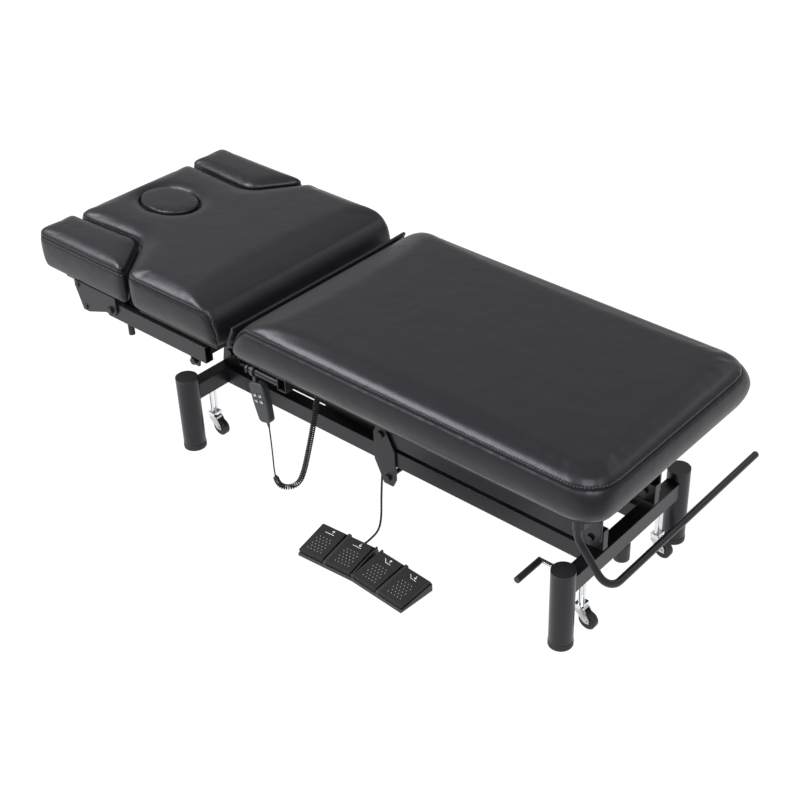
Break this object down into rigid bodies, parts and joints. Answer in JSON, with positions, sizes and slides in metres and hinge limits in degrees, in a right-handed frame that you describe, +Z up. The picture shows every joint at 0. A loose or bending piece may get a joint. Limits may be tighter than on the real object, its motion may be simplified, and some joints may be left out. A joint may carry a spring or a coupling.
{
  "type": "treatment table",
  "caption": "Long padded treatment table on a lifting base, with a tilting backrest that has a face hole, drop-down armrests, a wired handset, a foot control and retracting castors.",
  "frame": {"origin": "on the floor, under the middle of the box around the table", "axes": "+X along the table towards the foot end, +Y towards the far side, +Z up"},
  "size_m": [1.9605, 0.8131, 0.605],
  "materials": {
    "powder_coat": "fine-texture black powder coat",
    "leatherette": "black satin leatherette over foam",
    "board": "dark stained plywood",
    "plastic": "matte black moulding",
    "button": "grey keypad",
    "rubber": "black rubber",
    "zinc": "zinc-plated steel",
    "chrome": "bright chrome",
    "castor_tyre": "grey castor tyre"
  },
  "bodies": {
    "base": {"base_legs": "powder_coat", "leg_caps": "plastic", "leg_feet": "rubber", "base_cross_tubes": "powder_coat", "base_side_rails": "powder_coat", "base_brackets": "powder_coat", "base_bolts": "zinc", "control_box": "plastic", "cable_fittings": "plastic", "pedal_base": "plastic", "pedal_cord": "rubber"},
    "foot_arms": {"foot_lift_arms": "powder_coat"},
    "head_arms": {"head_lift_arms": "powder_coat"},
    "upper": {"upper_frame": "powder_coat", "upper_brackets": "powder_coat", "upper_bolts": "zinc", "leg_board": "board", "leg_cushion": "leatherette", "handset_hook": "powder_coat", "handset_socket": "plastic", "handset_case": "plastic", "handset_cord": "rubber", "paper_bar": "powder_coat", "gap_flap": "leatherette"},
    "backrest": {"backrest_frame": "powder_coat", "backrest_hinge_arms": "powder_coat", "backrest_board": "board", "backrest_cushion": "leatherette", "backrest_pins": "zinc"},
    "face_plug": {"face_plug": "leatherette"},
    "near_armrest": {"near_armrest_cushion": "leatherette", "near_armrest_bracket": "powder_coat"},
    "far_armrest": {"far_armrest_cushion": "leatherette", "far_armrest_bracket": "powder_coat"},
    "lift_actuator": {"lift_actuator": "plastic"},
    "lift_rod": {"lift_actuator_rod": "zinc"},
    "back_actuator": {"back_actuator": "plastic"},
    "back_rod": {"back_actuator_rod": "zinc"},
    "head_lever": {"castor_lever_head": "zinc", "lever_grip_head": "plastic"},
    "head_stems": {"castor_stems_head": "chrome"},
    "foot_lever": {"castor_lever_foot": "zinc", "lever_grip_foot": "plastic"},
    "foot_stems": {"castor_stems_foot": "chrome"},
    "fork_head_near": {"castor_fork_head_near": "zinc"},
    "wheel_head_near": {"castor_wheel_head_near": "castor_tyre"},
    "fork_head_far": {"castor_fork_head_far": "zinc"},
    "wheel_head_far": {"castor_wheel_head_far": "castor_tyre"},
    "fork_foot_near": {"castor_fork_foot_near": "zinc"},
    "wheel_foot_near": {"castor_wheel_foot_near": "castor_tyre"},
    "fork_foot_far": {"castor_fork_foot_far": "zinc"},
    "wheel_foot_far": {"castor_wheel_foot_far": "castor_tyre"},
    "button_raise": {"handset_button_raise": "button"},
    "button_lower": {"handset_button_lower": "button"},
    "button_back_up": {"handset_button_back_up": "button"},
    "button_back_down": {"handset_button_back_down": "button"},
    "pedal_1": {"pedal_1": "plastic"},
    "pedal_2": {"pedal_2": "plastic"},
    "pedal_3": {"pedal_3": "plastic"},
    "pedal_4": {"pedal_4": "plastic"}
  },
  "joints": [
    {"name": "lift", "type": "hinge", "parent": "base", "child": "foot_arms", "pos_m": [0.11175, 0.0235, 0.252], "axis": [0, -1, 0], "range_deg": [0, 25.7]},
    {"name": "head_arm_turn", "type": "hinge", "parent": "base", "child": "head_arms", "pos_m": [-0.50125, 0.0235, 0.252], "axis": [0, -1, 0], "range_deg": [0, 25.7]},
    {"name": "upper_level", "type": "hinge", "parent": "foot_arms", "child": "upper", "pos_m": [0.80375, 0.0235, 0.252], "axis": [0, -1, 0], "range_deg": [-25.7, 0]},
    {"name": "lift_actuator_turn", "type": "hinge", "parent": "foot_arms", "child": "lift_actuator", "pos_m": [0.49375, 0.0235, 0.18], "axis": [0, 1, 0], "range_deg": [-0.1, 2.1]},
    {"name": "lift_actuator_extend", "type": "slide", "parent": "lift_actuator", "child": "lift_rod", "axis": [-0.9842, 0, -0.1772], "range_m": [0, 0.0601]},
    {"name": "backrest_tilt", "type": "hinge", "parent": "upper", "child": "backrest", "pos_m": [-0.08625, 0.0235, 0.452], "axis": [0, 1, 0], "range_deg": [0, 75]},
    {"name": "back_actuator_turn", "type": "hinge", "parent": "upper", "child": "back_actuator", "pos_m": [0.39875, 0.0235, 0.392], "axis": [0, 1, 0], "range_deg": [0, 7.3]},
    {"name": "back_actuator_extend", "type": "slide", "parent": "back_actuator", "child": "back_rod", "axis": [-0.9947, 0, -0.1025], "range_m": [0, 0.1161]},
    {"name": "face_plug_lift", "type": "slide", "parent": "backrest", "child": "face_plug", "axis": [0, 0, 1], "range_m": [0, 0.2]},
    {"name": "near_armrest_turn", "type": "hinge", "parent": "backrest", "child": "near_armrest", "pos_m": [-0.69525, -0.3185, 0.436], "axis": [0, -1, 0], "range_deg": [0, 25]},
    {"name": "far_armrest_turn", "type": "hinge", "parent": "backrest", "child": "far_armrest", "pos_m": [-0.69525, 0.3655, 0.436], "axis": [0, -1, 0], "range_deg": [0, 25]},
    {"name": "head_lever_turn", "type": "hinge", "parent": "base", "child": "head_lever", "pos_m": [-0.52925, 0.0235, 0.185], "axis": [0, 1, 0], "range_deg": [0, 60]},
    {"name": "head_castor_drop", "type": "slide", "parent": "base", "child": "head_stems", "axis": [0, 0, -1], "range_m": [0, 0.0121]},
    {"name": "swivel_head_near", "type": "hinge", "parent": "head_stems", "child": "fork_head_near", "pos_m": [-0.51725, -0.1505, 0.063], "axis": [0, 0, 1], "continuous": true},
    {"name": "spin_head_near", "type": "hinge", "parent": "fork_head_near", "child": "wheel_head_near", "pos_m": [-0.49325, -0.1505, 0.03], "axis": [0, 1, 0], "continuous": true},
    {"name": "swivel_head_far", "type": "hinge", "parent": "head_stems", "child": "fork_head_far", "pos_m": [-0.51725, 0.1975, 0.063], "axis": [0, 0, 1], "continuous": true},
    {"name": "spin_head_far", "type": "hinge", "parent": "fork_head_far", "child": "wheel_head_far", "pos_m": [-0.49325, 0.1975, 0.03], "axis": [0, 1, 0], "continuous": true},
    {"name": "foot_lever_turn", "type": "hinge", "parent": "base", "child": "foot_lever", "pos_m": [0.80275, 0.0235, 0.185], "axis": [0, 1, 0], "range_deg": [0, 60]},
    {"name": "foot_castor_drop", "type": "slide", "parent": "base", "child": "foot_stems", "axis": [0, 0, -1], "range_m": [0, 0.0121]},
    {"name": "swivel_foot_near", "type": "hinge", "parent": "foot_stems", "child": "fork_foot_near", "pos_m": [0.81475, -0.1505, 0.063], "axis": [0, 0, 1], "continuous": true},
    {"name": "spin_foot_near", "type": "hinge", "parent": "fork_foot_near", "child": "wheel_foot_near", "pos_m": [0.83875, -0.1505, 0.03], "axis": [0, 1, 0], "continuous": true},
    {"name": "swivel_foot_far", "type": "hinge", "parent": "foot_stems", "child": "fork_foot_far", "pos_m": [0.81475, 0.1975, 0.063], "axis": [0, 0, 1], "continuous": true},
    {"name": "spin_foot_far", "type": "hinge", "parent": "fork_foot_far", "child": "wheel_foot_far", "pos_m": [0.83875, 0.1975, 0.03], "axis": [0, 1, 0], "continuous": true},
    {"name": "press_raise", "type": "slide", "parent": "upper", "child": "button_raise", "axis": [0, 1, 0], "range_m": [0, 0.001], "stiffness_N_per_m": 400, "springref_m": -0.0005},
    {"name": "press_lower", "type": "slide", "parent": "upper", "child": "button_lower", "axis": [0, 1, 0], "range_m": [0, 0.001], "stiffness_N_per_m": 400, "springref_m": -0.0005},
    {"name": "press_back_up", "type": "slide", "parent": "upper", "child": "button_back_up", "axis": [0, 1, 0], "range_m": [0, 0.001], "stiffness_N_per_m": 400, "springref_m": -0.0005},
    {"name": "press_back_down", "type": "slide", "parent": "upper", "child": "button_back_down", "axis": [0, 1, 0], "range_m": [0, 0.001], "stiffness_N_per_m": 400, "springref_m": -0.0005},
    {"name": "press_pedal_1", "type": "hinge", "parent": "base", "child": "pedal_1", "pos_m": [0.24386, -0.28873, 0.0305], "axis": [0.9978, 0.0663, 0], "range_deg": [0, 2.2], "stiffness_Nm_per_rad": 3, "springref_deg": -5.73},
    {"name": "press_pedal_2", "type": "hinge", "parent": "base", "child": "pedal_2", "pos_m": [0.24386, -0.28873, 0.0305], "axis": [0.9978, 0.0663, 0], "range_deg": [0, 2.2], "stiffness_Nm_per_rad": 3, "springref_deg": -5.73},
    {"name": "press_pedal_3", "type": "hinge", "parent": "base", "child": "pedal_3", "pos_m": [0.25764, -0.28873, 0.0305], "axis": [0.9978, -0.0663, 0], "range_deg": [0, 2.2], "stiffness_Nm_per_rad": 3, "springref_deg": -5.73},
    {"name": "press_pedal_4", "type": "hinge", "parent": "base", "child": "pedal_4", "pos_m": [0.25764, -0.28873, 0.0305], "axis": [0.9978, -0.0663, 0], "range_deg": [0, 2.2], "stiffness_Nm_per_rad": 3, "springref_deg": -5.73}
  ],
  "couplings": [
    {"joint": "head_arm_turn", "follows": "lift", "ratio": 1},
    {"joint": "upper_level", "follows": "lift", "ratio": -1},
    {"joint": "lift_actuator_turn", "follows": "lift", "ratio": 0.079787},
    {"joint": "lift_actuator_extend", "follows": "lift", "m_per_rad": 0.13377},
    {"joint": "back_actuator_turn", "follows": "backrest_tilt", "ratio": 0.096312},
    {"joint": "back_actuator_extend", "follows": "backrest_tilt", "m_per_rad": 0.088692},
    {"joint": "head_castor_drop", "follows": "head_lever_turn", "m_per_rad": 0.011459},
    {"joint": "foot_castor_drop", "follows": "foot_lever_turn", "m_per_rad": 0.011459}
  ]
}
